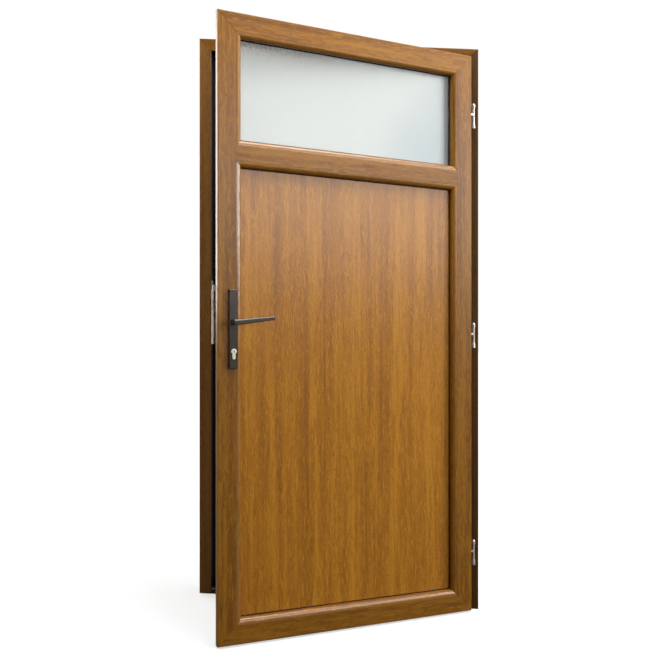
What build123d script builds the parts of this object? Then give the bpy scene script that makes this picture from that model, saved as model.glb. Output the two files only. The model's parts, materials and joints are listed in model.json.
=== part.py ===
from build123d import *
from collections import namedtuple
from math import cos, radians, sin
import os

# An inward-opening entrance door, standing ajar in its frame, seen from the room side.
# +Z is up, +X runs from the lock side to the hinge side and +Y points outdoors.
# The origin is under the middle of the threshold, half way through the frame's depth. Sizes are in millimetres.

# Frame
frame_width = 1000
frame_height = 2000
frame_depth = 70
frame_face = 43
stop_width = 22
stop_depth = 20
frame_edge_radius = 2.5

# Frame screws
fixing_radius = 4
fixing_setback = 25
fixing_margin = 420

# Threshold
threshold_height = 20
threshold_setback = 1
threshold_chamfer = 4
weather_bar_height = 16
weather_bar_depth = 10
groove_count = 3
groove_width = 3
groove_depth = 1
groove_spacing = 9

# Leaf
leaf_angle = 26.6
leaf_depth = 70
lip_overlap = 8
lip_thickness = 20
lip_reach = 20
lip_radius = 3
closing_gap = 5
floor_gap = 6
sash_face = 60
seam_radius = 0.8
weld_seam_depth = 0.7
flange_width = 18
flange_thickness = 19
flange_radius = 3
lock_groove_width = 16
lock_groove_depth = 3
lock_groove_centre = 42
transom_height = 48
transom_drop = 436

# Glazing beads, glass and panel
bead_width = 18
bead_depth = 21
bead_radius = 14
gasket_thickness = 3
gasket_reveal = 2.5
gasket_cover = 12
edge_clearance = 4
glass_thickness = 4
spacer_reveal = 4
spacer_cover = 12

# Seals
seal_gap = 0.5
leaf_seal_inset = 1.5
leaf_seal_width = 5
frame_seal_inset = 13
frame_seal_width = 7

# Hinges
lower_hinge_height = 207
middle_hinge_height = 978
upper_hinge_drop = 208
hinge_side_offset = 16
hinge_back_offset = 12
knuckle_radius = 4.2
pin_radius = 2.5
pin_clearance = 0.06
knuckle_gap = 0.5
frame_knuckle_length = 26
leaf_knuckle_length = 29
cap_radius = 6.2
dome_height = 14
dome_wall = 10
dome_tip_radius = 3.4
bell_height = 18
bell_rim = 8
bell_neck_radius = 4.8
hinge_arm_width = 7
leaf_arm_height = 7
leaf_arm_lift = 1.5
frame_arm_height = 18
frame_arm_drop = 4

# Handle and lock
handle_inset = 49
spindle_height = 1008
spindle_size = 8
spindle_hole_radius = 7
cylinder_drop = 92
plate_width = 26
plate_above_spindle = 98.5
plate_below_spindle = 145.5
plate_thickness = 10
plate_edge_chamfer = 1.2
lever_radius = 8.5
lever_play = 0.3
lever_base_depth = 9
lever_standoff = 44
lever_reach = 122
lever_rise_angle = 7
lever_arm_height = 17.5
lever_arm_depth = 15
lever_arm_chamfer = 3.6
lever_taper_angle = 1.4
socket_depth = 24
cylinder_radius = 8.5
cylinder_lobe_width = 10
cylinder_lobe_drop = 19.5
cylinder_proud = 2
cylinder_play = 0.2
key_slot_width = 1.6
key_slot_height = 7
key_slot_depth = 6

# Latch, deadbolt, faceplate and strike
bolt_thickness = 12
bolt_play = 0.4
latch_height = 18
latch_above_spindle = 100
latch_throw = 25
latch_travel = 24
latch_tail = 11
latch_bevel = 9
deadbolt_height = 30
deadbolt_above_spindle = 34
deadbolt_length = 26
deadbolt_proud = 1
faceplate_width = 20
faceplate_height = 300
strike_thickness = 4.5
strike_width = 32
strike_bottom = 900
strike_tongue_thickness = 2
strike_tongue_lap = 20
strike_tongue_margin = 6
strike_corner_radius = 2
keep_clearance = 5
deadbolt_keep_clearance = 4

# Places worked out from the sizes above
east = Vector(1, 0, 0)
west = Vector(-1, 0, 0)
up = Vector(0, 0, 1)
down = Vector(0, 0, -1)
room_face = -frame_depth / 2
rebate_half = frame_width / 2 - frame_face
rebate_depth = frame_depth - stop_depth
stop_half = rebate_half - stop_width
stop_face = room_face + rebate_depth
leaf_half = rebate_half + lip_overlap
leaf_edge_half = leaf_half - lip_reach
leaf_front = room_face - closing_gap - lip_thickness
leaf_back = leaf_front + leaf_depth
leaf_top = frame_height - frame_face + lip_overlap
leaf_bottom = floor_gap
transom_middle = leaf_top - transom_drop
rebate_floor = leaf_depth - flange_thickness
glazing_depth = bead_depth + gasket_thickness
glazing_thickness = rebate_floor - gasket_thickness - glazing_depth
hinge_x = leaf_half + hinge_side_offset
hinge_y = leaf_front + hinge_back_offset
hinge_axis = Axis((hinge_x, hinge_y, 0), (0, 0, 1))
hinge_middles = {
    "lower": lower_hinge_height,
    "middle": middle_hinge_height,
    "upper": leaf_top - upper_hinge_drop,
}
fixing_heights = (fixing_margin, frame_height - fixing_margin)
handle_x = handle_inset - leaf_half
cylinder_height = spindle_height - cylinder_drop
latch_middle = spindle_height + latch_above_spindle
deadbolt_middle = spindle_height + deadbolt_above_spindle
bolt_y = leaf_front + lock_groove_centre

Field = namedtuple("Field", "x_min x_max z_min z_max")


def inset(field, amount):
    """The same upright rectangle, drawn in by an amount on every side."""
    return Field(field.x_min + amount, field.x_max - amount, field.z_min + amount, field.z_max - amount)


leaf_field = Field(-leaf_half, leaf_half, leaf_bottom, leaf_top)
rebate_field = inset(leaf_field, sash_face)
glass_field = rebate_field._replace(z_min=transom_middle + transom_height / 2)
panel_field = rebate_field._replace(z_max=transom_middle - transom_height / 2)

# Sections, as corners of (distance in from the outer edge, depth from the room face, corner radius)
frame_section = [
    (0, 0, frame_edge_radius),
    (frame_face, 0, frame_edge_radius),
    (frame_face, rebate_depth, 0),
    (frame_face + stop_width, rebate_depth, frame_edge_radius),
    (frame_face + stop_width, frame_depth, frame_edge_radius),
    (0, frame_depth, frame_edge_radius),
]
sash_section = [
    (0, 0, lip_radius),
    (sash_face, 0, seam_radius),
    (sash_face, rebate_floor, 0),
    (sash_face + flange_width, rebate_floor, 0),
    (sash_face + flange_width, leaf_depth, flange_radius),
    (lip_reach, leaf_depth, flange_radius),
    (lip_reach, lock_groove_centre + lock_groove_width / 2, 0),
    (lip_reach + lock_groove_depth, lock_groove_centre + lock_groove_width / 2, 0),
    (lip_reach + lock_groove_depth, lock_groove_centre - lock_groove_width / 2, 0),
    (lip_reach, lock_groove_centre - lock_groove_width / 2, 0),
    (lip_reach, lip_thickness, 0),
    (0, lip_thickness, seam_radius),
]
bead_section = [
    (0, 0, seam_radius),
    (bead_width, 0, bead_radius),
    (bead_width, bead_depth, 0),
    (0, bead_depth, 0),
]


def mitred_bar(corner, inward, run, length, section, mitre_start=True, mitre_end=True):
    """A bar of one section, cut at 45 degrees where it meets its neighbours, with a shallow weld seam there."""
    section_plane = Plane(origin=corner, x_dir=inward, z_dir=run)
    depth_dir = section_plane.y_dir
    far_corner = corner + run * length
    start_facing = (run - inward).normalized()
    end_facing = (-run - inward).normalized()
    start_cuts = [
        Plane(origin=corner, z_dir=start_facing),
        Plane(origin=corner + depth_dir * weld_seam_depth, z_dir=start_facing + depth_dir),
    ]
    end_cuts = [
        Plane(origin=far_corner, z_dir=end_facing),
        Plane(origin=far_corner + depth_dir * weld_seam_depth, z_dir=end_facing + depth_dir),
    ]
    with BuildPart() as bar:
        with BuildSketch(section_plane):
            with BuildLine():
                corners = [(across, depth) for across, depth, _ in section]
                FilletPolyline(*corners, radius=[radius for _, _, radius in section], close=True)
            make_face()
        extrude(amount=length)
        for cut in start_cuts * mitre_start + end_cuts * mitre_end:
            split(bisect_by=cut, keep=Keep.TOP)
    return bar


def mitred_ring(field, front, section):
    """Four mitred bars round an upright rectangle: lock side, hinge side, top and bottom."""
    width = field.x_max - field.x_min
    height = field.z_max - field.z_min
    lock_side = mitred_bar(Vector(field.x_min, front, field.z_min), east, up, height, section)
    hinge_side = mitred_bar(Vector(field.x_max, front, field.z_max), west, down, height, section)
    top = mitred_bar(Vector(field.x_min, front, field.z_max), down, east, width, section)
    bottom = mitred_bar(Vector(field.x_max, front, field.z_min), up, west, width, section)
    return lock_side, hinge_side, top, bottom


def upright_sheet(field, front, thickness, hole=None):
    """A flat sheet facing the room, with a rectangular hole where one is given."""
    with BuildPart() as sheet:
        with BuildSketch(Plane.XZ.offset(-(front + thickness))):
            with Locations(((field.x_min + field.x_max) / 2, (field.z_min + field.z_max) / 2)):
                Rectangle(field.x_max - field.x_min, field.z_max - field.z_min)
            if hole:
                with Locations(((hole.x_min + hole.x_max) / 2, (hole.z_min + hole.z_max) / 2)):
                    Rectangle(hole.x_max - hole.x_min, hole.z_max - hole.z_min, mode=Mode.SUBTRACT)
        extrude(amount=thickness)
    return sheet


def cylinder_outline(clearance):
    """The keyhole-shaped outline of a profile cylinder, round at the top, with a hanging lobe."""
    with BuildSketch() as outline:
        Circle(cylinder_radius + clearance)
        with Locations((0, -cylinder_lobe_drop / 2)):
            Rectangle(cylinder_lobe_width + 2 * clearance, cylinder_lobe_drop)
        with Locations((0, -cylinder_lobe_drop)):
            Circle(cylinder_lobe_width / 2 + clearance)
    return outline.sketch


# Strike openings in the lock jamb, one for the latch and one for the deadbolt
latch_keep_height = latch_height + 2 * keep_clearance
latch_keep_width = bolt_thickness + 2 * keep_clearance
deadbolt_keep_height = deadbolt_height + 2 * deadbolt_keep_clearance
deadbolt_keep_width = bolt_thickness + 2 * deadbolt_keep_clearance
keep_depth = latch_throw - (rebate_half - leaf_edge_half) + keep_clearance
strike_top = latch_middle - latch_keep_height / 2
tongue_top = latch_middle + latch_keep_height / 2 + strike_tongue_margin
tongue_bottom = strike_top - strike_tongue_lap
tongue_middle = (tongue_top + tongue_bottom) / 2
strike_y = bolt_y

# Lock jamb
jamb_blank = mitred_bar(
    Vector(-frame_width / 2, room_face, 0), east, up, frame_height, frame_section, mitre_start=False
)
with BuildPart() as lock_jamb:
    add(jamb_blank.part)
    with BuildSketch(Plane.YZ.offset(-frame_width / 2)):
        with Locations(*[(room_face + fixing_setback, height) for height in fixing_heights]):
            Circle(fixing_radius)
    extrude(amount=frame_face, mode=Mode.SUBTRACT)
    with BuildSketch(Plane.YZ.offset(-rebate_half)):
        with Locations((strike_y, latch_middle)):
            Rectangle(latch_keep_width, latch_keep_height)
        with Locations((strike_y, deadbolt_middle)):
            Rectangle(deadbolt_keep_width, deadbolt_keep_height)
    extrude(amount=-keep_depth, mode=Mode.SUBTRACT)
    with BuildSketch(Plane.YZ.offset(-rebate_half)):
        with Locations((strike_y, tongue_middle)):
            Rectangle(strike_width, tongue_top - tongue_bottom)
    extrude(amount=-strike_tongue_thickness, mode=Mode.SUBTRACT)

# Hinge jamb
jamb_blank = mitred_bar(
    Vector(frame_width / 2, room_face, frame_height), west, down, frame_height, frame_section, mitre_end=False
)
with BuildPart() as hinge_jamb:
    add(jamb_blank.part)
    with BuildSketch(Plane.YZ.offset(frame_width / 2)):
        with Locations(*[(room_face + fixing_setback, height) for height in fixing_heights]):
            Circle(fixing_radius)
    extrude(amount=-frame_face, mode=Mode.SUBTRACT)

# Frame head
frame_head = mitred_bar(
    Vector(-frame_width / 2, room_face, frame_height), down, east, frame_width, frame_section
)

# Threshold, notched round the stops, with a weather bar behind the closed leaf
threshold_front = room_face + threshold_setback
threshold_back = frame_depth / 2
with BuildPart() as threshold:
    with BuildSketch(Plane.YZ.offset(-rebate_half)):
        with BuildLine():
            Polyline(
                (threshold_front, 0),
                (threshold_front, threshold_height - threshold_chamfer),
                (threshold_front + threshold_chamfer, threshold_height),
                (stop_face, threshold_height),
                (stop_face, threshold_height + weather_bar_height),
                (stop_face + weather_bar_depth, threshold_height + weather_bar_height),
                (threshold_back, threshold_height / 2),
                (threshold_back, 0),
                close=True,
            )
        make_face()
    extrude(amount=2 * rebate_half)
    with BuildSketch(Plane.XY):
        with Locations(*[(side * (stop_half + rebate_half) / 2, stop_face + stop_depth / 2) for side in (-1, 1)]):
            Rectangle(stop_width, stop_depth)
    extrude(amount=threshold_height + weather_bar_height, mode=Mode.SUBTRACT)
    with BuildSketch(Plane.XY.offset(threshold_height)):
        with Locations((0, (threshold_front + stop_face) / 2)):
            with GridLocations(1, groove_spacing, 1, groove_count):
                Rectangle(2 * rebate_half, groove_width)
    extrude(amount=-groove_depth, mode=Mode.SUBTRACT)

# Frame seal on the stops, just clear of the closed leaf
seal_half = rebate_half - frame_seal_inset
seal_thickness = closing_gap - seal_gap
seal_top = frame_height - frame_face - frame_seal_inset
seal_field = Field(-seal_half, seal_half, threshold_height, seal_top)
frame_seal = upright_sheet(
    seal_field,
    stop_face - seal_thickness,
    seal_thickness,
    hole=inset(seal_field, frame_seal_width)._replace(z_min=threshold_height),
)

# Strike plate on the lock jamb's rebate, with a thin tongue let in flush round the latch's opening
strike_middle = (strike_bottom + strike_top) / 2
with BuildPart() as strike_plate:
    with BuildSketch(Plane.YZ.offset(-rebate_half)):
        with Locations((strike_y, strike_middle)):
            RectangleRounded(strike_width, strike_top - strike_bottom, strike_corner_radius)
        with Locations((strike_y, deadbolt_middle)):
            Rectangle(deadbolt_keep_width, deadbolt_keep_height, mode=Mode.SUBTRACT)
    extrude(amount=strike_thickness)
    with BuildSketch(Plane.YZ.offset(-rebate_half)):
        with Locations((strike_y, tongue_middle)):
            Rectangle(strike_width, tongue_top - tongue_bottom)
        with Locations((strike_y, latch_middle)):
            Rectangle(latch_keep_width, latch_keep_height, mode=Mode.SUBTRACT)
    extrude(amount=-strike_tongue_thickness)


def hinge_knuckle(bottom, length, arm_bottom, arm_height, arm_reach, towards_leaf):
    """A hinge barrel with one arm: to the leaf's edge, or back to the frame's face."""
    arm_middle = hinge_x - arm_reach / 2 if towards_leaf else hinge_x
    arm_depth_middle = hinge_y if towards_leaf else hinge_y + arm_reach / 2
    arm_size = (arm_reach, hinge_arm_width) if towards_leaf else (hinge_arm_width, arm_reach)
    with BuildPart() as knuckle:
        with BuildSketch(Plane.XY.offset(bottom)):
            with Locations((hinge_x, hinge_y)):
                Circle(knuckle_radius)
        extrude(amount=length)
        with BuildSketch(Plane.XY.offset(arm_bottom)):
            with Locations((arm_middle, arm_depth_middle)):
                Rectangle(*arm_size)
        extrude(amount=arm_height)
        with BuildSketch(Plane.XY.offset(bottom)):
            with Locations((hinge_x, hinge_y)):
                Circle(pin_radius + pin_clearance)
        extrude(amount=length, mode=Mode.SUBTRACT)
    return knuckle


def hinge_pin(middle):
    """A hinge pin turned as one with a domed cap above and a bell-shaped cap below."""
    top_shoulder = middle + 2 * knuckle_gap + leaf_knuckle_length
    bottom_shoulder = middle - frame_knuckle_length
    dome_top = top_shoulder + dome_height
    bell_bottom = bottom_shoulder - bell_height
    with BuildPart() as pin:
        with BuildSketch(Plane.XZ.offset(-hinge_y)):
            with BuildLine():
                Polyline(
                    (hinge_x, bell_bottom),
                    (hinge_x + cap_radius, bell_bottom),
                    (hinge_x + cap_radius, bell_bottom + bell_rim),
                    (hinge_x + bell_neck_radius, bottom_shoulder),
                    (hinge_x + pin_radius, bottom_shoulder),
                    (hinge_x + pin_radius, top_shoulder),
                    (hinge_x + cap_radius, top_shoulder),
                    (hinge_x + cap_radius, top_shoulder + dome_wall),
                    (hinge_x + dome_tip_radius, dome_top),
                    (hinge_x, dome_top),
                    close=True,
                )
            make_face()
        revolve(axis=hinge_axis)
    return pin


# Hinges: one half on the frame, one on the leaf, and the pin that carries them
frame_arm_reach = room_face - hinge_y
frame_knuckles = {}
leaf_knuckles = {}
hinge_pins = {}
for place, middle in hinge_middles.items():
    frame_knuckles[f"{place}_hinge_frame_knuckle"] = hinge_knuckle(
        middle - frame_knuckle_length,
        frame_knuckle_length,
        middle - frame_arm_drop - frame_arm_height,
        frame_arm_height,
        frame_arm_reach,
        towards_leaf=False,
    )
    leaf_knuckles[f"{place}_hinge_leaf_knuckle"] = hinge_knuckle(
        middle + knuckle_gap,
        leaf_knuckle_length,
        middle + leaf_arm_lift,
        leaf_arm_height,
        hinge_side_offset,
        towards_leaf=True,
    )
    hinge_pins[f"{place}_hinge_pin"] = hinge_pin(middle)

# Leaf members, mitred at the corners
stile_blank, hinge_stile, top_rail, bottom_rail = mitred_ring(leaf_field, leaf_front, sash_section)

# Lock stile, bored for the spindle and cylinder, and pocketed for the bolts and their faceplate
faceplate_middle = spindle_height
bolt_pocket_depth = latch_tail + latch_travel + bolt_play
with BuildPart() as lock_stile:
    add(stile_blank.part)
    with BuildSketch(Plane.XZ.offset(-leaf_back)):
        with Locations((handle_x, spindle_height)):
            Circle(spindle_hole_radius)
        with Locations((handle_x, cylinder_height)):
            add(cylinder_outline(cylinder_play))
    extrude(amount=leaf_depth, mode=Mode.SUBTRACT)
    with BuildSketch(Plane.YZ.offset(-leaf_edge_half)):
        with Locations((bolt_y, faceplate_middle)):
            Rectangle(faceplate_width, faceplate_height)
    extrude(amount=lock_groove_depth, mode=Mode.SUBTRACT)
    with BuildSketch(Plane.YZ.offset(-leaf_edge_half)):
        with Locations((bolt_y, latch_middle)):
            Rectangle(bolt_thickness + 2 * bolt_play, latch_height + 2 * bolt_play)
    extrude(amount=bolt_pocket_depth, mode=Mode.SUBTRACT)
    with BuildSketch(Plane.YZ.offset(-leaf_edge_half)):
        with Locations((bolt_y, deadbolt_middle)):
            Rectangle(bolt_thickness, deadbolt_height)
    extrude(amount=deadbolt_length - deadbolt_proud, mode=Mode.SUBTRACT)

# Transom, with its outer flange notched between the stiles' flanges
transom_bottom = -transom_height / 2
transom_top = transom_height / 2
with BuildPart() as transom:
    with BuildSketch(Plane(origin=(rebate_field.x_max, leaf_front, transom_middle), x_dir=up, z_dir=west)):
        with BuildLine():
            FilletPolyline(
                (transom_bottom, 0),
                (transom_top, 0),
                (transom_top, rebate_floor),
                (transom_bottom, rebate_floor),
                radius=[seam_radius, seam_radius, 0, 0],
                close=True,
            )
        make_face()
    extrude(amount=rebate_field.x_max - rebate_field.x_min)
    flange_start = (rebate_field.x_max - flange_width, leaf_front, transom_middle)
    with BuildSketch(Plane(origin=flange_start, x_dir=up, z_dir=west)):
        with BuildLine():
            FilletPolyline(
                (transom_bottom - flange_width, rebate_floor),
                (transom_top + flange_width, rebate_floor),
                (transom_top + flange_width, leaf_depth),
                (transom_bottom - flange_width, leaf_depth),
                radius=[0, 0, flange_radius, flange_radius],
                close=True,
            )
        make_face()
    extrude(amount=rebate_field.x_max - rebate_field.x_min - 2 * flange_width)

# Glazing beads round the glass and the panel
glass_beads = mitred_ring(glass_field, leaf_front, bead_section)
panel_beads = mitred_ring(panel_field, leaf_front, bead_section)
bead_places = ("lock_side", "hinge_side", "top", "bottom")
beads = {f"glass_bead_{place}": bead for place, bead in zip(bead_places, glass_beads)}
beads.update({f"panel_bead_{place}": bead for place, bead in zip(bead_places, panel_beads)})

# Sealed glass unit and flat panel, standing in the same rebate
glazing_front = leaf_front + glazing_depth
unit_field = inset(glass_field, edge_clearance)
glass_inner_pane = upright_sheet(unit_field, glazing_front, glass_thickness)
glass_outer_pane = upright_sheet(
    unit_field, glazing_front + glazing_thickness - glass_thickness, glass_thickness
)
glass_spacer = upright_sheet(
    inset(glass_field, bead_width + spacer_reveal - spacer_cover),
    glazing_front + glass_thickness,
    glazing_thickness - 2 * glass_thickness,
    hole=inset(glass_field, bead_width + spacer_reveal),
)
lower_panel = upright_sheet(inset(panel_field, edge_clearance), glazing_front, glazing_thickness)

# Gaskets on both faces of the glass and of the panel
with BuildPart() as glazing_seals:
    for field in (glass_field, panel_field):
        for face in (leaf_front + bead_depth, glazing_front + glazing_thickness):
            gasket = upright_sheet(
                inset(field, bead_width + gasket_reveal - gasket_cover),
                face,
                gasket_thickness,
                hole=inset(field, bead_width + gasket_reveal),
            )
            add(gasket.part)

# Leaf seal behind the lip
leaf_seal_field = inset(leaf_field, leaf_seal_inset)
leaf_seal = upright_sheet(
    leaf_seal_field,
    leaf_front + lip_thickness,
    closing_gap - seal_gap,
    hole=inset(leaf_seal_field, leaf_seal_width),
)

# Handle plates, one on each face of the leaf
plate_middle = spindle_height + (plate_above_spindle - plate_below_spindle) / 2
leaf_middle_plane = Plane.XZ.offset(-(leaf_front + leaf_back) / 2)
with BuildPart() as inside_handle_plate:
    with BuildSketch(Plane.XZ.offset(-leaf_front)):
        with Locations((handle_x, plate_middle)):
            Rectangle(plate_width, plate_above_spindle + plate_below_spindle)
    extrude(amount=plate_thickness)
    chamfer(inside_handle_plate.faces().sort_by(Axis.Y)[0].edges(), plate_edge_chamfer)
    with BuildSketch(Plane.XZ.offset(-leaf_front)):
        with Locations((handle_x, spindle_height)):
            Circle(lever_radius + lever_play)
        with Locations((handle_x, cylinder_height)):
            add(cylinder_outline(cylinder_play))
    extrude(amount=plate_thickness, mode=Mode.SUBTRACT)
with BuildPart() as outside_handle_plate:
    mirror(inside_handle_plate.part, about=leaf_middle_plane)

# Levers: a round neck out of the plate and a flat-sided arm that tapers and rises towards its tip
out_of_leaf = Vector(0, -1, 0)
along_arm = Vector(cos(radians(lever_rise_angle)), 0, sin(radians(lever_rise_angle)))
neck_start = Vector(handle_x, leaf_front - plate_thickness + lever_base_depth, spindle_height)
elbow = Vector(handle_x, leaf_front - lever_standoff, spindle_height)
arm_start = elbow - along_arm * lever_radius
with BuildPart() as inside_lever:
    with BuildSketch(Plane(origin=arm_start, x_dir=out_of_leaf, z_dir=along_arm)) as arm_section:
        Rectangle(lever_arm_depth, lever_arm_height)
        chamfer(arm_section.vertices(), lever_arm_chamfer)
    extrude(amount=lever_reach + lever_radius, taper=lever_taper_angle)
    with BuildSketch(Plane(origin=neck_start, x_dir=east, z_dir=out_of_leaf)):
        Circle(lever_radius)
    extrude(amount=(elbow - neck_start).length)
    with BuildSketch(Plane(origin=neck_start, x_dir=east, z_dir=out_of_leaf)):
        Rectangle(spindle_size, spindle_size)
    extrude(amount=socket_depth, mode=Mode.SUBTRACT)
with BuildPart() as outside_lever:
    mirror(inside_lever.part, about=leaf_middle_plane)

# Spindle, a square bar from the socket of one lever to the other
spindle_front = neck_start.Y - socket_depth
spindle_length = leaf_depth + 2 * (leaf_front - spindle_front)
with BuildPart() as spindle:
    with BuildSketch(Plane.XZ.offset(-spindle_front)):
        with Locations((handle_x, spindle_height)):
            Rectangle(spindle_size, spindle_size)
    extrude(amount=-spindle_length)

# Profile cylinder through both plates, with a key slot at each end
cylinder_length = leaf_depth + 2 * (plate_thickness + cylinder_proud)
cylinder_front = leaf_front - plate_thickness - cylinder_proud
with BuildPart() as lock_cylinder:
    with BuildSketch(Plane.XZ.offset(-cylinder_front)):
        with Locations((handle_x, cylinder_height)):
            add(cylinder_outline(0))
    extrude(amount=-cylinder_length)
    for slot_start in (cylinder_front, cylinder_front + cylinder_length - key_slot_depth):
        with BuildSketch(Plane.XZ.offset(-slot_start)):
            with Locations((handle_x, cylinder_height)):
                Rectangle(key_slot_width, key_slot_height)
        extrude(amount=-key_slot_depth, mode=Mode.SUBTRACT)

# Lock faceplate, let into the leaf's edge
with BuildPart() as lock_faceplate:
    with BuildSketch(Plane.YZ.offset(-leaf_edge_half)):
        with Locations((bolt_y, faceplate_middle)):
            Rectangle(faceplate_width, faceplate_height)
        with Locations((bolt_y, latch_middle)):
            Rectangle(bolt_thickness + 2 * bolt_play, latch_height + 2 * bolt_play, mode=Mode.SUBTRACT)
        with Locations((bolt_y, deadbolt_middle)):
            Rectangle(bolt_thickness, deadbolt_height, mode=Mode.SUBTRACT)
    extrude(amount=lock_groove_depth)

# Deadbolt, drawn back into the leaf
with BuildPart() as deadbolt:
    with BuildSketch(Plane.YZ.offset(-leaf_edge_half - deadbolt_proud)):
        with Locations((bolt_y, deadbolt_middle)):
            Rectangle(bolt_thickness, deadbolt_height)
    extrude(amount=deadbolt_length)

# Latch bolt, thrown out, with its nose bevelled on the side that meets the strike first
latch_nose = -leaf_edge_half - latch_throw
latch_end = -leaf_edge_half + latch_tail
with BuildPart() as latch_bolt:
    with BuildSketch(Plane.XY.offset(latch_middle - latch_height / 2)):
        with BuildLine():
            Polyline(
                (latch_end, bolt_y - bolt_thickness / 2),
                (latch_end, bolt_y + bolt_thickness / 2),
                (latch_nose + latch_throw / 2, bolt_y + bolt_thickness / 2),
                (latch_nose, bolt_y + bolt_thickness / 2 - latch_bevel),
                (latch_nose, bolt_y - bolt_thickness / 2),
                close=True,
            )
        make_face()
    extrude(amount=latch_height)

# The frame's pieces stand as drawn, and the leaf's, drawn closed, are swung open about the hinge axis
fixed_pieces = {
    "lock_jamb": lock_jamb,
    "hinge_jamb": hinge_jamb,
    "frame_head": frame_head,
    "threshold": threshold,
    "frame_seal": frame_seal,
    "strike_plate": strike_plate,
    **frame_knuckles,
    **hinge_pins,
}
leaf_pieces = {
    "lock_stile": lock_stile,
    "hinge_stile": hinge_stile,
    "top_rail": top_rail,
    "bottom_rail": bottom_rail,
    "transom": transom,
    "lower_panel": lower_panel,
    "glass_inner_pane": glass_inner_pane,
    "glass_outer_pane": glass_outer_pane,
    "glass_spacer": glass_spacer,
    **beads,
    "glazing_seals": glazing_seals,
    "leaf_seal": leaf_seal,
    "inside_handle_plate": inside_handle_plate,
    "outside_handle_plate": outside_handle_plate,
    "lock_cylinder": lock_cylinder,
    "lock_faceplate": lock_faceplate,
    "deadbolt": deadbolt,
    **leaf_knuckles,
    "inside_lever": inside_lever,
    "outside_lever": outside_lever,
    "spindle": spindle,
    "latch_bolt": latch_bolt,
}

os.makedirs("parts", exist_ok=True)
for name, piece in fixed_pieces.items():
    piece.part.label = name
    export_step(piece.part, f"parts/{name}.step")
for name, piece in leaf_pieces.items():
    opened = piece.part.rotate(hinge_axis, leaf_angle)
    opened.label = name
    export_step(opened, f"parts/{name}.step")
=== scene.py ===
import json
from math import cos, pi, radians, sin

import bmesh
import bpy
from mathutils import Matrix, Vector


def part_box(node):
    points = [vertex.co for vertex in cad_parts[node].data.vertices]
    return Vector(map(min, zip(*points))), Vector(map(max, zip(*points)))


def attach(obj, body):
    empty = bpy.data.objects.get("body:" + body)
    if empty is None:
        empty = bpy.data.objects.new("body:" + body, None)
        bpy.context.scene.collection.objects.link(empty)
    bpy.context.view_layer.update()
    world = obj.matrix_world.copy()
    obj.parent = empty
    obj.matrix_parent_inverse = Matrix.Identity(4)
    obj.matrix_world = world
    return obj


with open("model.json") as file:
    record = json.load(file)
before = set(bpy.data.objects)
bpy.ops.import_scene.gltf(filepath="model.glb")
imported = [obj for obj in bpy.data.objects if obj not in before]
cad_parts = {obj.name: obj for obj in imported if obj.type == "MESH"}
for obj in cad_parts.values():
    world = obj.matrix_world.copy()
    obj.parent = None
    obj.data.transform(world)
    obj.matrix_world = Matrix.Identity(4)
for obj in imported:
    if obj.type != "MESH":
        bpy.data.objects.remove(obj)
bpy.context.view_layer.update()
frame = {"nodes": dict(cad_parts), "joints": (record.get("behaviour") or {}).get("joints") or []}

# The looks of an entrance door in wood-look foil, ajar in its frame.
# Lengths are in metres, angles in degrees and colours in linear light, unless a comment says otherwise.

UP = Vector((0, 0, 1))

# Read from the frame: the hinge line's middle, and the leaf's own directions while it stands ajar.
# The leaf's turn is in radians.
joints = {joint["name"]: joint for joint in frame["joints"]}
HINGE_PLACE = Vector(joints["leaf_swing"]["pos_m"])
OUTDOORS = Vector(joints["handle_turn"]["axis"])
ALONG_LEAF = Vector((OUTDOORS.y, -OUTDOORS.x, 0))
LEAF_TURN = Vector((1, 0, 0)).rotation_difference(ALONG_LEAF).to_euler().z

# Camera, fitted to the photograph's lines. Lens and sensor are in millimetres.
CAMERA_PLACE = Vector((0.0648, -3.0155, 1.1415))
CAMERA_YAW = 1.64
CAMERA_LENS = 44.97
CAMERA_SENSOR = 36
CAMERA_SHIFT_Y = -0.0749
CAMERA_SHEAR = 0.0468
CAMERA_REACH = 100

# Lamps: name, place, point aimed at, width and height, power in watts
LAMPS = (
    ("side_window", Vector((5.50, -0.80, 3.10)), Vector((0.0, -0.25, 1.2)), (2.0, 4.6), 315),
    ("far_window", Vector((3.30, -3.10, 2.10)), Vector((0.0, -0.2, 1.4)), (3.2, 1.5), 82),
    ("ceiling_lamp", Vector((0.40, -0.85, 3.20)), Vector((0.0, -0.3, 1.0)), (2.2, 1.0), 66),
    ("left_window", Vector((-1.70, -1.10, 1.80)), Vector((-0.5, -0.05, 1.1)), (0.8, 2.2), 24),
    ("back_window", Vector((-2.60, 2.20, 2.00)), Vector((-0.36, -0.44, 1.3)), (1.6, 2.2), 60),
)

# Surroundings: brightness in front of the door and behind it, the depths of direction between which
# one passes into the other, and how much of the white background shows in gloss
AMBIENT_FRONT = 0.05
AMBIENT_BACK = 0.90
AMBIENT_TURN = (-0.15, 0.35)
GLOSS_SHARE = 0.16
WHITE = (1.0, 1.0, 1.0)

# Floor: its greys and the size of their clouds, the colour that it throws back at the door, and its white
# glow, which grows from one share to another between two distances from the middle
FLOOR_SIZE = 24
FLOOR_GREYS = ((0.78, 0.78, 0.78), (0.82, 0.82, 0.82))
FLOOR_GREY_EDGES = (0.3, 0.7)
FLOOR_CLOUD = 0.4
FLOOR_BOUNCE = (0.036, 0.032, 0.022)
FLOOR_ROUGHNESS = 0.9
FLOOR_WHITE = 1.12
FLOOR_GLOW = (0.45, 1.0)
FLOOR_FADE = (1.0, 4.0)

# Foil colours, and the near-black of the frame's rebates: partly a dark core, partly painted shade in
# those recesses
FOIL_DARK = (0.205, 0.072, 0.0020)
FOIL_MIDDLE = (0.300, 0.113, 0.0030)
FOIL_LIGHT = (0.385, 0.160, 0.0080)
FOIL_PORE = (0.090, 0.030, 0.0030)
CORE_AND_SHADE_COLOUR = (0.006, 0.004, 0.003)
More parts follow.
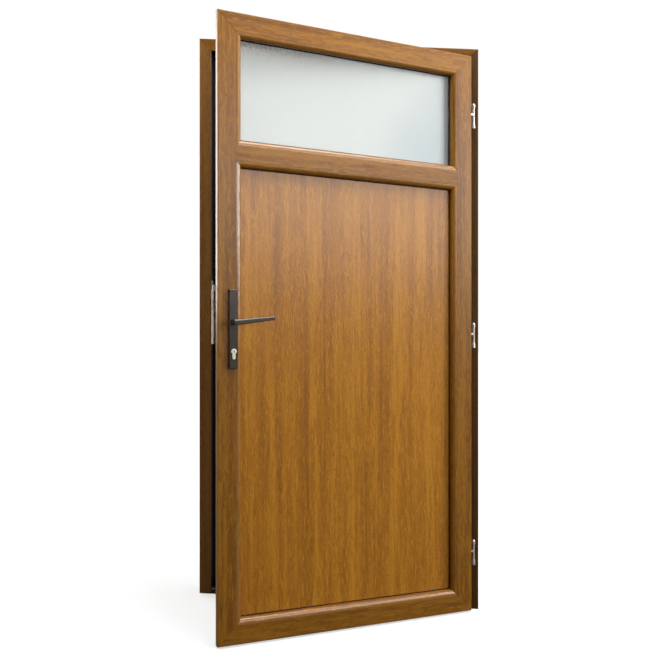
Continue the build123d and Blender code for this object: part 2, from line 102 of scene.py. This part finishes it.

# Foils: roughness, specular level, start in the noise, brightness and contrast. The brightness gives each
# member the light or shade it stands in here: painted light and shade, as lit and shaded copies of one
# foil.
FOILS = {
    "foil_lock_jamb": (0.40, 0.38, 6.1, 0.42, 1.0),
    # The hinge jamb is the darkest copy: painted shade.
    "foil_hinge_jamb": (0.40, 0.24, 7.4, 0.20, 1.0),
    "foil_head": (0.40, 0.24, 8.3, 0.44, 1.0),
    "foil_stiles": (0.34, 0.34, 0.0, 0.61, 1.2),
    "foil_rails": (0.38, 0.32, 1.7, 0.62, 1.2),
    "foil_upright_beads": (0.20, 0.85, 2.9, 0.60, 1.0),
    "foil_level_beads": (0.33, 0.85, 5.3, 0.74, 1.0),
    "foil_panel": (0.30, 0.46, 9.6, 1.0, 0.94),
}

# Noise layers of the foil: width across the grain, length along it, seed, detail and distortion.
# A foil's start in the noise is taken along the three axes by the shares below.
GRAIN_LAYERS = {
    "bands": (0.055, 1.60, 0.0, 2.0, 0.4),
    "streaks": (0.017, 0.55, 3.1, 2.0, 0.3),
    "fibres": (0.0045, 0.13, 7.7, 2.0, 0.0),
    "threads": (0.0022, 0.035, 13.9, 1.0, 0.0),
    "field": (0.060, 0.42, 11.3, 1.0, 0.5),
    "columns": (0.022, 1.20, 19.3, 1.0, 0.0),
    "flecks": (0.0042, 0.012, 17.9, 1.0, 0.5),
    "rays": (0.0042, 0.040, 23.7, 1.0, 0.8),
    "curls": (0.0100, 0.030, 29.1, 1.0, 1.4),
}
SHIFT_SHARES = (1.0, 0.7, 0.4)

# Flame figure: level lines of the slow field, shown only in the paler bands
FIGURE_RINGS = 46.0
FIGURE_LINES = (0.0, 1.0)
FIGURE_BANDS = (0.47, 0.58)

# Noise levels at which pale rays, flecks and columns of flecks begin to show, and are whole
RAY_EDGES = (0.56, 0.70)
FLECK_EDGES = (0.62, 0.73)
COLUMN_EDGES = (0.57, 0.66)

# How much each layer lightens the print, the tone of the middle colour, the step from it to the dark and
# light ones, and how strongly the pores show
TONE_WEIGHTS = {
    "bands": 0.32,
    "streaks": 0.27,
    "curls": 0.15,
    "fibres": 0.12,
    "threads": 0.06,
    "pale_rays": 0.130,
    "figure": -0.050,
}
TONE_MIDDLE = 0.455
TONE_STEP = 0.09
PORE_SHARE = 0.60

# How much each layer stands out in the embossing, and the orange peel that also varies the roughness
RELIEF_WEIGHTS = {
    "fibres": 0.5,
    "threads": 0.3,
    "peel": 1.1,
    "curls": 2.0,
    "rays": 0.6,
    "pores": -0.7,
}
PEEL_SIZE = (0.004, 0.004, 0.006)
PEEL_ROUGHNESS = 0.12

# Relief of each surface: strength and depth
FOIL_RELIEF = (0.36, 0.0006)
METAL_RELIEF = (0.12, 0.0002)
RUBBER_RELIEF = (0.1, 0.0003)
PEBBLE_RELIEF = (0.7, 0.0014)
MIST_RELIEF = (0.10, 0.0003)

# The frame's rebates, where the foil gives way to near-black: partly a dark core, partly painted shade
REBATE_HALF = 0.457
REBATE_TOP = 1.957
REBATE_MARGIN = 0.0006

# Metals: colour, roughness, sizes of the wiping marks and metallic share. Wiping varies the roughness
# between two shares of it, and mottling dulls the colour.
METALS = {
    "zinc_plate": ((0.50, 0.48, 0.44), 0.40, (0.004, 0.004, 0.03), 0.8),
    # A lit copy of the zinc plating, paler and less metallic: partly a paler plating, partly painted
    # light.
    "pale_zinc_and_painted_light": ((0.84, 0.82, 0.78), 0.36, (0.004, 0.004, 0.03), 0.15),
    "dark_bronze": ((0.060, 0.050, 0.041), 0.24, (0.006, 0.006, 0.006), 0.45),
    "nickel_brass": ((0.84, 0.79, 0.62), 0.34, (0.003, 0.02, 0.003), 0.55),
    "dark_anodised": ((0.050, 0.045, 0.040), 0.42, (0.25, 0.002, 0.002), 1.0),
    "spacer_bar": ((0.30, 0.31, 0.31), 0.45, (0.02, 0.02, 0.004), 1.0),
    "recess_shade": ((0.010, 0.009, 0.008), 0.60, (0.002, 0.002, 0.002), 0.2),
}
WIPE_DETAIL = 3.0
WIPE_ROUGHNESS = (0.8, 1.25)
MOTTLE_SIZE = 0.02
MOTTLE_EDGES = (0.35, 0.62)
MOTTLE_DULL = 0.82

# Gasket rubber and the dust on it
RUBBER_BLACK = (0.004, 0.004, 0.004)
RUBBER_DUSTY = (0.014, 0.013, 0.012)
RUBBER_ROUGHNESS = (0.55, 0.80)
RUBBER_SPECULAR = 0.20
DUST_SIZE = (0.01, 0.01, 0.05)
DUST_DETAIL = 3.0
DUST_EDGES = (0.45, 0.75)

# Glass of both panes
GLASS_IOR = 1.45
GLASS_SPECULAR = 0.15

# The pebbled pane: its pebbles, its tints, and its corner specked with painted shade under the head, as
# distances from the hinge line and above the hinge line's middle
PEBBLE_SIZE = 0.0032
WAVE_SIZE = 0.03
PEBBLED_ROUGHNESS = (0.28, 0.34)
PANE_CLEAR = (0.97, 0.985, 0.975)
PANE_SHADE_SPECK = (0.36, 0.31, 0.32)
SPECK_SIZE = 0.0062
SPECK_SEED = 7
SPECK_EDGES = (0.45, 0.57)
SPECK_ALONG = (0.42, 0.95)
SPECK_RISE = (0.85, 0.925)

# The misted pane: its tints and where its slanting cloud begins and ends, a painted image of the blurred
# backdrop seen through it, pale to blue-grey, and what frays the cloud's edge
MIST_PALE = (0.76, 0.79, 0.765)
BACKDROP_BLUE_TINT = (0.555, 0.62, 0.635)
BACKDROP_SLANT = (-0.99, -0.70)
MIST_CLOUD = (0.30, 0.30, 0.12)
MIST_FRAY = 0.24
MIST_ROUGHNESS = (0.30, 0.38)
MIST_GRAIN = 0.002

# Screws and key plugs: sizes, heights above the ground, and shares of a head's radius or height.
# The tiny value keeps a division from meeting zero.
SCREW_RADIUS = 0.0042
SCREW_HEIGHT = 0.0010
STRIKE_SCREWS = (0.918, 1.004, 1.082)
FACEPLATE_SCREWS = (0.870, 1.080, 1.146)
CYLINDER_RADIUS = 0.0085
PLUG_RADIUS = 0.0068
PLUG_HEIGHT = 0.0008
RING_STEPS = 48
RIM_START = 0.5
RIM_INSET = 0.90
RECESS_TAPER = 0.80
RECESS_FLOOR = 0.25
CROSS_LENGTH = 0.62
CROSS_WIDTH = 0.16
KEYWAY_LENGTH = 0.68
KEYWAY_WIDTH = 0.20
TINY = 1e-9


def add_node(tree, kind, inputs=None, **settings):
    """A shader node with its settings made and its inputs filled or linked."""
    made = tree.nodes.new(kind)
    for name, value in settings.items():
        setattr(made, name, value)
    for key, value in (inputs or {}).items():
        if isinstance(value, bpy.types.NodeSocket):
            tree.links.new(value, made.inputs[key])
        else:
            made.inputs[key].default_value = value
    return made


def new_material(name):
    """A material with its principled shader, ready for colour, roughness and bump."""
    material = bpy.data.materials.new(name)
    material.use_nodes = True
    tree = material.node_tree
    return material, tree, tree.nodes["Principled BSDF"]


def opaque(colour, brightness=1.0):
    """A colour with its brightness set, as four channels."""
    return tuple(channel * brightness for channel in colour) + (1.0,)


def colour_ramp(tree, factor, stops):
    """Colours laid along a factor, each at its own level from 0 to 1."""
    made = add_node(tree, "ShaderNodeValToRGB", {"Fac": factor})
    elements = made.color_ramp.elements
    elements[0].position, elements[0].color = stops[0]
    elements[1].position, elements[1].color = stops[-1]
    for position, colour in stops[1:-1]:
        elements.new(position).color = colour
    return made.outputs["Color"]


def two_tone(tree, factor, edges, first, second):
    """One colour up to the first edge of a factor, passing into another at the second."""
    return colour_ramp(tree, factor, list(zip(edges, (first, second))))


def spread(tree, factor, low, high):
    """A factor from 0 to 1 laid over the range from low to high."""
    return add_node(
        tree, "ShaderNodeMapRange", {"Value": factor, "To Min": low, "To Max": high}
    ).outputs["Result"]


def mask(tree, factor, low, high):
    """A factor stretched so that low becomes 0 and high becomes 1, with soft ends."""
    return add_node(
        tree,
        "ShaderNodeMapRange",
        {"Value": factor, "From Min": low, "From Max": high},
        interpolation_type="SMOOTHSTEP",
    ).outputs["Result"]


def arithmetic(tree, operation, first, second=0.0):
    """One step of arithmetic on factors."""
    return add_node(tree, "ShaderNodeMath", {0: first, 1: second}, operation=operation).outputs[0]


def weighted_sum(tree, parts):
    """Factors added up, each with its weight."""
    total = 0.0
    for factor, weight in parts:
        total = add_node(
            tree, "ShaderNodeMath", {0: factor, 1: weight, 2: total}, operation="MULTIPLY_ADD"
        ).outputs[0]
    return total


def mix_colour(tree, factor, first, second):
    """Two colours mixed."""
    made = add_node(tree, "ShaderNodeMix", {0: factor, 6: first, 7: second}, data_type="RGBA")
    return made.outputs[2]


def mapped(tree, size, turn=0.0, place=(0, 0, 0)):
    """The object's coordinates in a frame turned about the upright, measured in the sizes given."""
    coordinates = add_node(tree, "ShaderNodeTexCoord").outputs["Object"]
    mapping = add_node(
        tree,
        "ShaderNodeMapping",
        {"Vector": coordinates, "Location": place, "Rotation": (0, 0, turn), "Scale": size},
        vector_type="TEXTURE",
    )
    return mapping.outputs[0]


def stretched_noise(tree, size, turn=0.0, place=(0, 0, 0), detail=2.0, distortion=0.0):
    """Noise whose blotches have a given size along each axis of a frame turned about the upright."""
    coordinates = mapped(tree, size, turn, place)
    noise = add_node(
        tree,
        "ShaderNodeTexNoise",
        {"Vector": coordinates, "Scale": 1.0, "Detail": detail, "Distortion": distortion},
    )
    return noise.outputs["Fac"]


def even_noise(tree, size, seed=0, detail=2.0):
    """Noise whose blotches have the same size every way."""
    return stretched_noise(tree, (size, size, size), place=(seed, seed, seed), detail=detail)


def add_bump(tree, shader, height, strength, distance):
    """Small relief on a shader's surface."""
    bump = add_node(tree, "ShaderNodeBump", {"Height": height, "Strength": strength, "Distance": distance})
    tree.links.new(bump.outputs[0], shader.inputs["Normal"])


def inside_rebate(tree, axis, edge):
    """1 on the faces that lie within the frame's rebate, measured along one axis from the middle."""
    coordinates = add_node(tree, "ShaderNodeTexCoord").outputs["Object"]
    along = add_node(tree, "ShaderNodeSeparateXYZ", {0: coordinates}).outputs[axis]
    return arithmetic(tree, "LESS_THAN", arithmetic(tree, "ABSOLUTE", along), edge + REBATE_MARGIN)


def flame_figure(tree, layers):
    """The level lines of the slow field, shown only in the paler bands."""
    rings = arithmetic(tree, "SINE", arithmetic(tree, "MULTIPLY", layers["field"], FIGURE_RINGS))
    lines = mask(tree, rings, *FIGURE_LINES)
    return arithmetic(tree, "MULTIPLY", lines, mask(tree, layers["bands"], *FIGURE_BANDS))


def pore_columns(tree, layers):
    """Dark flecks that stand in columns."""
    flecks = mask(tree, layers["flecks"], *FLECK_EDGES)
    return arithmetic(tree, "MULTIPLY", flecks, mask(tree, layers["columns"], *COLUMN_EDGES))


def grain_layers(tree, grain, turn, shift):
    """The foil's noise layers, stretched along the grain, and the marks that are made from them."""
    layers = {}
    for name, (width, length, seed, detail, distortion) in GRAIN_LAYERS.items():
        size = (width, width, length) if grain == "upright" else (length, width, width)
        place = tuple(shift * share + seed for share in SHIFT_SHARES)
        layers[name] = stretched_noise(tree, size, turn, place, detail, distortion)
    layers["figure"] = flame_figure(tree, layers)
    layers["pale_rays"] = mask(tree, layers["rays"], *RAY_EDGES)
    layers["pores"] = pore_columns(tree, layers)
    layers["peel"] = stretched_noise(tree, PEEL_SIZE, turn)
    return layers


def print_colour(tree, layers, brightness, contrast):
    """The foil's printed colour, from dark to light by the sum of its layers, with dark pores."""
    weights = [(layers[name], weight * contrast) for name, weight in TONE_WEIGHTS.items()]
    middle = TONE_MIDDLE * contrast
    stops = [
        (middle - TONE_STEP, opaque(FOIL_DARK, brightness)),
        (middle, opaque(FOIL_MIDDLE, brightness)),
        (middle + TONE_STEP, opaque(FOIL_LIGHT, brightness)),
    ]
    colour = colour_ramp(tree, weighted_sum(tree, weights), stops)
    pores = arithmetic(tree, "MULTIPLY", layers["pores"], PORE_SHARE)
    return mix_colour(tree, pores, colour, opaque(FOIL_PORE, brightness))


def wood_foil(name, grain="upright", turn=0.0, rebate=None):
    """Oak-print foil, lightly embossed, with its grain upright or level, its print lightened or darkened
    as painted light and shade, and near-black in a rebate: partly a dark core, partly painted shade.
    """
    roughness, specular, shift, brightness, contrast = FOILS[name]
    material, tree, shader = new_material(name)
    layers = grain_layers(tree, grain, turn, shift)
    # The brightness lightens or darkens the print as painted light and shade.
    colour = print_colour(tree, layers, brightness, contrast)
    if rebate:
        # Near-black in the rebate: partly a dark core, partly painted shade.
        colour = mix_colour(tree, inside_rebate(tree, *rebate), colour, opaque(CORE_AND_SHADE_COLOUR))
    tree.links.new(colour, shader.inputs["Base Color"])
    uneven = spread(tree, layers["peel"], roughness - PEEL_ROUGHNESS, roughness + PEEL_ROUGHNESS)
    tree.links.new(uneven, shader.inputs["Roughness"])
    shader.inputs["Specular IOR Level"].default_value = specular
    height = weighted_sum(tree, [(layers[layer], weight) for layer, weight in RELIEF_WEIGHTS.items()])
    add_bump(tree, shader, height, *FOIL_RELIEF)
    return material


def metal(name, colour, roughness, wiping, metallic):
    """Metal with fine wiping marks and a little mottling."""
    material, tree, shader = new_material(name)
    marks = stretched_noise(tree, wiping, detail=WIPE_DETAIL)
    clouds = even_noise(tree, MOTTLE_SIZE)
    base = two_tone(tree, clouds, MOTTLE_EDGES, opaque(colour, MOTTLE_DULL), opaque(colour))
    tree.links.new(base, shader.inputs["Base Color"])
    smoother, rougher = (roughness * share for share in WIPE_ROUGHNESS)
    tree.links.new(spread(tree, marks, smoother, rougher), shader.inputs["Roughness"])
    shader.inputs["Metallic"].default_value = metallic
    add_bump(tree, shader, marks, *METAL_RELIEF)
    return material


def rubber(name):
    """Black gasket rubber, dull, with a trace of dust."""
    material, tree, shader = new_material(name)
    dust = stretched_noise(tree, DUST_SIZE, detail=DUST_DETAIL)
    colour = two_tone(tree, dust, DUST_EDGES, opaque(RUBBER_BLACK), opaque(RUBBER_DUSTY))
    tree.links.new(colour, shader.inputs["Base Color"])
    tree.links.new(spread(tree, dust, *RUBBER_ROUGHNESS), shader.inputs["Roughness"])
    shader.inputs["Specular IOR Level"].default_value = RUBBER_SPECULAR
    add_bump(tree, shader, dust, *RUBBER_RELIEF)
    return material


def new_glass(name):
    """A glass material, with places on the leaf as distances from the hinge line's middle."""
    material, tree, shader = new_material(name)
    shader.inputs["Transmission Weight"].default_value = 1.0
    shader.inputs["IOR"].default_value = GLASS_IOR
    shader.inputs["Specular IOR Level"].default_value = GLASS_SPECULAR
    on_leaf = mapped(tree, (1, 1, 1), LEAF_TURN, HINGE_PLACE)
    place = add_node(tree, "ShaderNodeSeparateXYZ", {0: on_leaf}).outputs
    return material, tree, shader, place


def pebbled_glass(name):
    """Clear glass, cast with pebbles that break up what is behind, with painted shade as dark specks in
    its upper lock corner, under the head.
    """
    material, tree, shader, place = new_glass(name)
    lock_side = mask(tree, arithmetic(tree, "MULTIPLY", place["X"], -1.0), *SPECK_ALONG)
    # Painted shade: dark specks in the upper lock corner, under the head.
    corner = arithmetic(tree, "MULTIPLY", lock_side, mask(tree, place["Z"], *SPECK_RISE))
    specks = mask(tree, even_noise(tree, SPECK_SIZE, SPECK_SEED), *SPECK_EDGES)
    share = arithmetic(tree, "MULTIPLY", corner, specks)
    colour = mix_colour(tree, share, opaque(PANE_CLEAR), opaque(PANE_SHADE_SPECK))
    tree.links.new(colour, shader.inputs["Base Color"])
    waves = even_noise(tree, WAVE_SIZE)
    tree.links.new(spread(tree, waves, *PEBBLED_ROUGHNESS), shader.inputs["Roughness"])
    add_bump(tree, shader, even_noise(tree, PEBBLE_SIZE, detail=1.0), *PEBBLE_RELIEF)
    return material


def misted_glass(name):
    """The outer pane, misted, with the blurred backdrop painted in: paler towards the lock side and
    blue-grey towards the hinges.
    """
    material, tree, shader, place = new_glass(name)
    clouds = stretched_noise(tree, MIST_CLOUD, LEAF_TURN, detail=1.0)
    # Painted backdrop: a slant from pale towards the lock side to blue-grey towards the hinges.
    slant = weighted_sum(tree, [(place["X"], 1.0), (place["Z"], -1.0), (clouds, MIST_FRAY)])
    colour = mix_colour(tree, mask(tree, slant, *BACKDROP_SLANT), opaque(MIST_PALE), opaque(BACKDROP_BLUE_TINT))
    tree.links.new(colour, shader.inputs["Base Color"])
    tree.links.new(spread(tree, clouds, *MIST_ROUGHNESS), shader.inputs["Roughness"])
    add_bump(tree, shader, even_noise(tree, MIST_GRAIN), *MIST_RELIEF)
    return material


def dress(nodes, material):
    """Gives CAD nodes a material in every slot."""
    for name in nodes:
        for material_slot in frame["nodes"][name].material_slots:
            material_slot.material = material


def dress_frame():
    """Foil on the jambs and the head, with the grain along each, the hinge jamb darkest as painted shade,
    and near-black in their rebates: partly a dark core, partly painted shade.
    """
    dress(["lock_jamb"], wood_foil("foil_lock_jamb", rebate=("X", REBATE_HALF)))
    dress(["hinge_jamb"], wood_foil("foil_hinge_jamb", rebate=("X", REBATE_HALF)))
    dress(["frame_head"], wood_foil("foil_head", "level", rebate=("Z", REBATE_TOP)))


def dress_leaf():
    """Foil on the leaf's members, beads and panel, with the grain along each and three glossier beads."""
    # Each member's foil is a lit or shaded copy of one foil, by its brightness: painted light and shade.
    stile = wood_foil("foil_stiles")
    rail = wood_foil("foil_rails", "level", LEAF_TURN)
    level_bead = wood_foil("foil_level_beads", "level", LEAF_TURN)
    dress(["lock_stile", "glass_bead_lock_side"], stile)
    dress(["hinge_stile", "glass_bead_hinge_side", "panel_bead_hinge_side"], stile)
    dress(["top_rail", "bottom_rail", "transom", "glass_bead_top", "panel_bead_top"], rail)
    dress(["panel_bead_lock_side"], wood_foil("foil_upright_beads"))
    dress(["glass_bead_bottom", "panel_bead_bottom"], level_bead)
    dress(["lower_panel"], wood_foil("foil_panel"))


def dress_glazing(metals):
    """Gaskets, panes and the bar between them."""
    dress(["frame_seal", "leaf_seal", "glazing_seals"], rubber("gasket_rubber"))
    dress(["glass_inner_pane"], pebbled_glass("glass_pebbled"))
    dress(["glass_outer_pane"], misted_glass("glass_misted"))
    dress(["glass_spacer"], metals["spacer_bar"])


def dress_metalwork(metals):
    """Hinges, lock, handle and threshold."""
    hinges = [
        f"{place}_hinge_{piece}"
        for place in ("upper", "middle", "lower")
        for piece in ("frame_knuckle", "leaf_knuckle", "pin")
    ]
    levers = ["inside_lever", "outside_lever"]
    handle_plates = ["inside_handle_plate", "outside_handle_plate"]
    dress(["lock_faceplate", "deadbolt", "spindle"] + hinges, metals["zinc_plate"])
    # The strike plate and latch take the paler, lit copy of the zinc plating: partly painted light.
    dress(["strike_plate", "latch_bolt"], metals["pale_zinc_and_painted_light"])
    dress(levers + handle_plates, metals["dark_bronze"])
    dress(["lock_cylinder"], metals["nickel_brass"])
    dress(["threshold"], metals["dark_anodised"])


def reach(node, direction):
    """How far a CAD node reaches along a direction."""
    return max(vertex.co.dot(direction) for vertex in frame["nodes"][node].data.vertices)


def on_face(node, outward, height):
    """The point at a height in the middle of the face that a node turns outward."""
    low, high = (Vector(corner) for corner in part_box(node))
    middle = (low + high) / 2
    middle.z = height
    return middle + outward * (reach(node, outward) - middle.dot(outward))


def cross_mouth(angle, radius):
    """The outline of a cross recess, as a distance from the middle at an angle."""
    long, short = radius * CROSS_LENGTH, radius * CROSS_WIDTH
    across, up = abs(cos(angle)) + TINY, abs(sin(angle)) + TINY
    return max(min(long / across, short / up), min(short / across, long / up))


def key_mouth(angle, radius):
    """The outline of an upright keyway, as a distance from the middle at an angle."""
    across, up = abs(cos(angle)) + TINY, abs(sin(angle)) + TINY
    return min(radius * KEYWAY_WIDTH / across, radius * KEYWAY_LENGTH / up)


def add_ring(form, outline, height):
    """A closed ring of points at a height, with its outline given as distances by angle."""
    angles = [2 * pi * step / RING_STEPS for step in range(RING_STEPS)]
    return [form.verts.new((outline(a) * cos(a), outline(a) * sin(a), height)) for a in angles]


def bridge(form, first, second, slot):
    """Faces between two rings, in one of the piece's materials."""
    for step in range(RING_STEPS):
        after = (step + 1) % RING_STEPS
        face = form.faces.new((first[step], first[after], second[after], second[step]))
        face.material_index = slot


def button_form(radius, height, mouth):
    """A round head with a softened rim and a recess of a given mouth, which takes the second material."""
    form = bmesh.new()
    seat = add_ring(form, lambda a: radius, 0.0)
    wall = add_ring(form, lambda a: radius, height * RIM_START)
    rim = add_ring(form, lambda a: radius * RIM_INSET, height)
    lip = add_ring(form, lambda a: mouth(a, radius), height)
    foot = add_ring(form, lambda a: mouth(a, radius) * RECESS_TAPER, height * RECESS_FLOOR)
    for first, second, slot in ((seat, wall, 0), (wall, rim, 0), (rim, lip, 0), (lip, foot, 1)):
        bridge(form, first, second, slot)
    form.faces.new(foot).material_index = 1
    form.faces.new(reversed(seat))
    return form


def add_piece(name, form, materials=()):
    """An object made from a form, which is used up."""
    mesh = bpy.data.meshes.new(name)
    form.to_mesh(mesh)
    form.free()
    for material in materials:
        mesh.materials.append(material)
    piece = bpy.data.objects.new(name, mesh)
    bpy.context.scene.collection.objects.link(piece)
    return piece


def seat_button(name, form, place, outward, materials, body):
    """Seats a button's form on a face that looks outward, as a piece that rides a body."""
    turn = Matrix((UP.cross(outward), UP, outward)).transposed().to_4x4()
    form.transform(Matrix.Translation(place) @ turn)
    piece = add_piece(name, form, materials)
    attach(piece, body)


def add_screws(metals):
    """Cross-head screws in the strike plate and in the lock's faceplate."""
    materials = (metals["zinc_plate"], metals["recess_shade"])
    sides = (
        ("strike_plate", "strike_screw", Vector((1, 0, 0)), STRIKE_SCREWS, "door_frame"),
        ("lock_faceplate", "faceplate_screw", -ALONG_LEAF, FACEPLATE_SCREWS, "door_leaf"),
    )
    for node, name, outward, heights, body in sides:
        for number, height in enumerate(heights, 1):
            form = button_form(SCREW_RADIUS, SCREW_HEIGHT, cross_mouth)
            place = on_face(node, outward, height)
            seat_button(f"{name}_{number}", form, place, outward, materials, body)


def add_key_plugs(metals):
    """The turning plug with its keyway, on both ends of the lock cylinder."""
    materials = (metals["nickel_brass"], metals["recess_shade"])
    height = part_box("lock_cylinder")[1][2] - CYLINDER_RADIUS
    for side, outward in (("inside", -OUTDOORS), ("outside", OUTDOORS)):
        form = button_form(PLUG_RADIUS, PLUG_HEIGHT, key_mouth)
        place = on_face("lock_cylinder", outward, height)
        seat_button(f"key_plug_{side}", form, place, outward, materials, "door_leaf")


def background_seen(tree):
    """How much white background a ray shows: all to the camera and through glass, a share in gloss."""
    path = add_node(tree, "ShaderNodeLightPath").outputs
    direct = arithmetic(tree, "MAXIMUM", path["Is Camera Ray"], path["Is Transmission Ray"])
    mirrored = arithmetic(tree, "MULTIPLY", path["Is Glossy Ray"], GLOSS_SHARE)
    return arithmetic(tree, "MAXIMUM", direct, mirrored)


def floor_white(name):
    """Pale grey that takes the door's shadow, white further out, with little light thrown back."""
    material, tree, shader = new_material(name)
    shader.inputs["Roughness"].default_value = FLOOR_ROUGHNESS
    shader.inputs["Specular IOR Level"].default_value = 0.0
    seen = background_seen(tree)
    clouds = even_noise(tree, FLOOR_CLOUD)
    pale = two_tone(tree, clouds, FLOOR_GREY_EDGES, *(opaque(grey) for grey in FLOOR_GREYS))
    colour = mix_colour(tree, seen, opaque(FLOOR_BOUNCE), pale)
    tree.links.new(colour, shader.inputs["Base Color"])
    white = add_node(tree, "ShaderNodeEmission", {"Color": opaque(WHITE), "Strength": FLOOR_WHITE})
    place = add_node(tree, "ShaderNodeTexCoord").outputs["Object"]
    away = add_node(tree, "ShaderNodeVectorMath", {0: place}, operation="LENGTH").outputs["Value"]
    glow = spread(tree, mask(tree, away, *FLOOR_FADE), *FLOOR_GLOW)
    share = arithmetic(tree, "MULTIPLY", seen, glow)
    blend = add_node(tree, "ShaderNodeMixShader", {0: share, 1: shader.outputs[0], 2: white.outputs[0]})
    tree.links.new(blend.outputs[0], tree.nodes["Material Output"].inputs["Surface"])
    return material


def make_floor():
    """A plain pale floor that keeps the door's shadow and runs out into the white background."""
    form = bmesh.new()
    bmesh.ops.create_grid(form, x_segments=1, y_segments=1, size=FLOOR_SIZE / 2)
    floor = add_piece("floor", form, [floor_white("floor_white")])


def make_world():
    """White surroundings behind the door and dimmer ones in front, with a plain white background."""
    world = bpy.data.worlds.new("studio")
    bpy.context.scene.world = world
    world.use_nodes = True
    tree = world.node_tree
    background = tree.nodes["Background"]
    direction = add_node(tree, "ShaderNodeTexCoord").outputs["Generated"]
    depth = add_node(tree, "ShaderNodeSeparateXYZ", {0: direction}).outputs["Y"]
    level = spread(tree, mask(tree, depth, *AMBIENT_TURN), AMBIENT_FRONT, AMBIENT_BACK)
    strength = arithmetic(tree, "MAXIMUM", level, background_seen(tree))
    tree.links.new(strength, background.inputs["Strength"])
    background.inputs["Color"].default_value = opaque(WHITE)


def make_lamp(name, place, aim, size, power):
    """A soft rectangular lamp that doesn't show through the glass."""
    data = bpy.data.lights.new(name, "AREA")
    data.shape = "RECTANGLE"
    data.size, data.size_y = size
    data.energy = power
    lamp = bpy.data.objects.new(name, data)
    lamp.location = place
    lamp.rotation_euler = (aim - place).to_track_quat("-Z", "Y").to_euler()
    lamp.visible_transmission = False
    bpy.context.scene.collection.objects.link(lamp)


def make_camera():
    """The photograph's camera: level, shifted, and sheared, which slants level lines and no uprights."""
    data = bpy.data.cameras.new("camera")
    data.sensor_width = CAMERA_SENSOR
    data.lens = CAMERA_LENS
    data.shift_y = CAMERA_SHIFT_Y
    data.clip_end = CAMERA_REACH
    camera = bpy.data.objects.new("camera", data)
    rig = bpy.data.objects.new("camera_rig", None)
    for made in (rig, camera):
        bpy.context.scene.collection.objects.link(made)
    level = Matrix.Rotation(radians(CAMERA_YAW), 4, "Z") @ Matrix.Rotation(pi / 2, 4, "X")
    shear = Matrix.Identity(4)
    shear[1][0] = CAMERA_SHEAR
    camera.parent = rig
    camera.matrix_parent_inverse = Matrix.Translation(CAMERA_PLACE) @ level @ shear
    bpy.context.scene.camera = camera


metals = {name: metal(name, *look) for name, look in METALS.items()}
dress_frame()
dress_leaf()
dress_glazing(metals)
dress_metalwork(metals)
add_screws(metals)
add_key_plugs(metals)
make_floor()
make_world()
for lamp in LAMPS:
    make_lamp(*lamp)
make_camera()
bpy.context.scene.view_settings.view_transform = "Standard"
